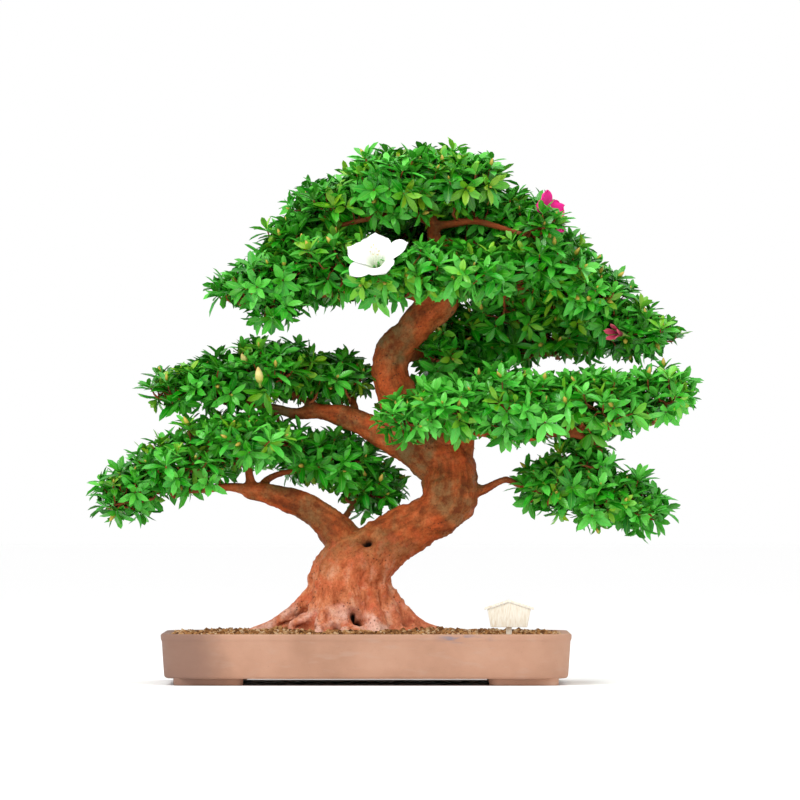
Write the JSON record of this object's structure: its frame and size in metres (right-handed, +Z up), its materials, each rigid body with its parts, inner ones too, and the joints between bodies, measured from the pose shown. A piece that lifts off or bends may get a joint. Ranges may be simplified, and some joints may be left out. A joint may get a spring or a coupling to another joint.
{
  "type": "azalea bonsai",
  "caption": "Azalea bonsai with a flared, curving trunk, layered leaf pads and open flowers, rooted in soil in a shallow rectangular clay tray with a bare wooden label.",
  "frame": {"origin": "middle of the whole plant's bounding box, on the surface that the tray's feet stand on", "axes": "+Z up, +X to the right along the tray's long side as seen from the front, +Y to the back"},
  "size_m": [0.6588, 0.3115, 0.5806],
  "materials": {
    "clay": "unglazed fired clay, tan to red-brown, slightly scuffed",
    "screen": "black moulded mesh",
    "earth": "granular brown potting grit",
    "bark": "smooth red-brown bark with paler roots",
    "leaf": "glossy deep green leaves with yellow-green new tips",
    "white_petal": "soft white petals with a pale green throat",
    "stamen": "pale filaments with yellow tips",
    "pink_petal": "soft magenta petals",
    "spent_petal": "dull dark red petals",
    "bud": "cream-yellow bud scales",
    "pale_wood": "bare pale wood"
  },
  "bodies": {
    "root": {"pot": "clay", "drain_screen_left": "screen", "drain_screen_right": "screen", "soil": "earth", "trunk": "bark", "foliage_left_low_outer": "leaf", "foliage_left_low_inner": "leaf", "foliage_left_low_back": "leaf", "foliage_left_mid": "leaf", "foliage_crown_left": "leaf", "foliage_crown_top": "leaf", "foliage_crown_right": "leaf", "foliage_crown_back": "leaf", "foliage_right_upper": "leaf", "foliage_right_front": "leaf", "foliage_right_low": "leaf", "foliage_back": "leaf", "white_flower": "white_petal", "white_flower_stamens": "stamen", "pink_flower": "pink_petal", "spent_flower": "spent_petal", "bud_cream_upper": "bud", "bud_cream_lower": "bud", "label_board": "pale_wood", "label_roof": "pale_wood", "label_stake": "pale_wood"}
  },
  "joints": []
}
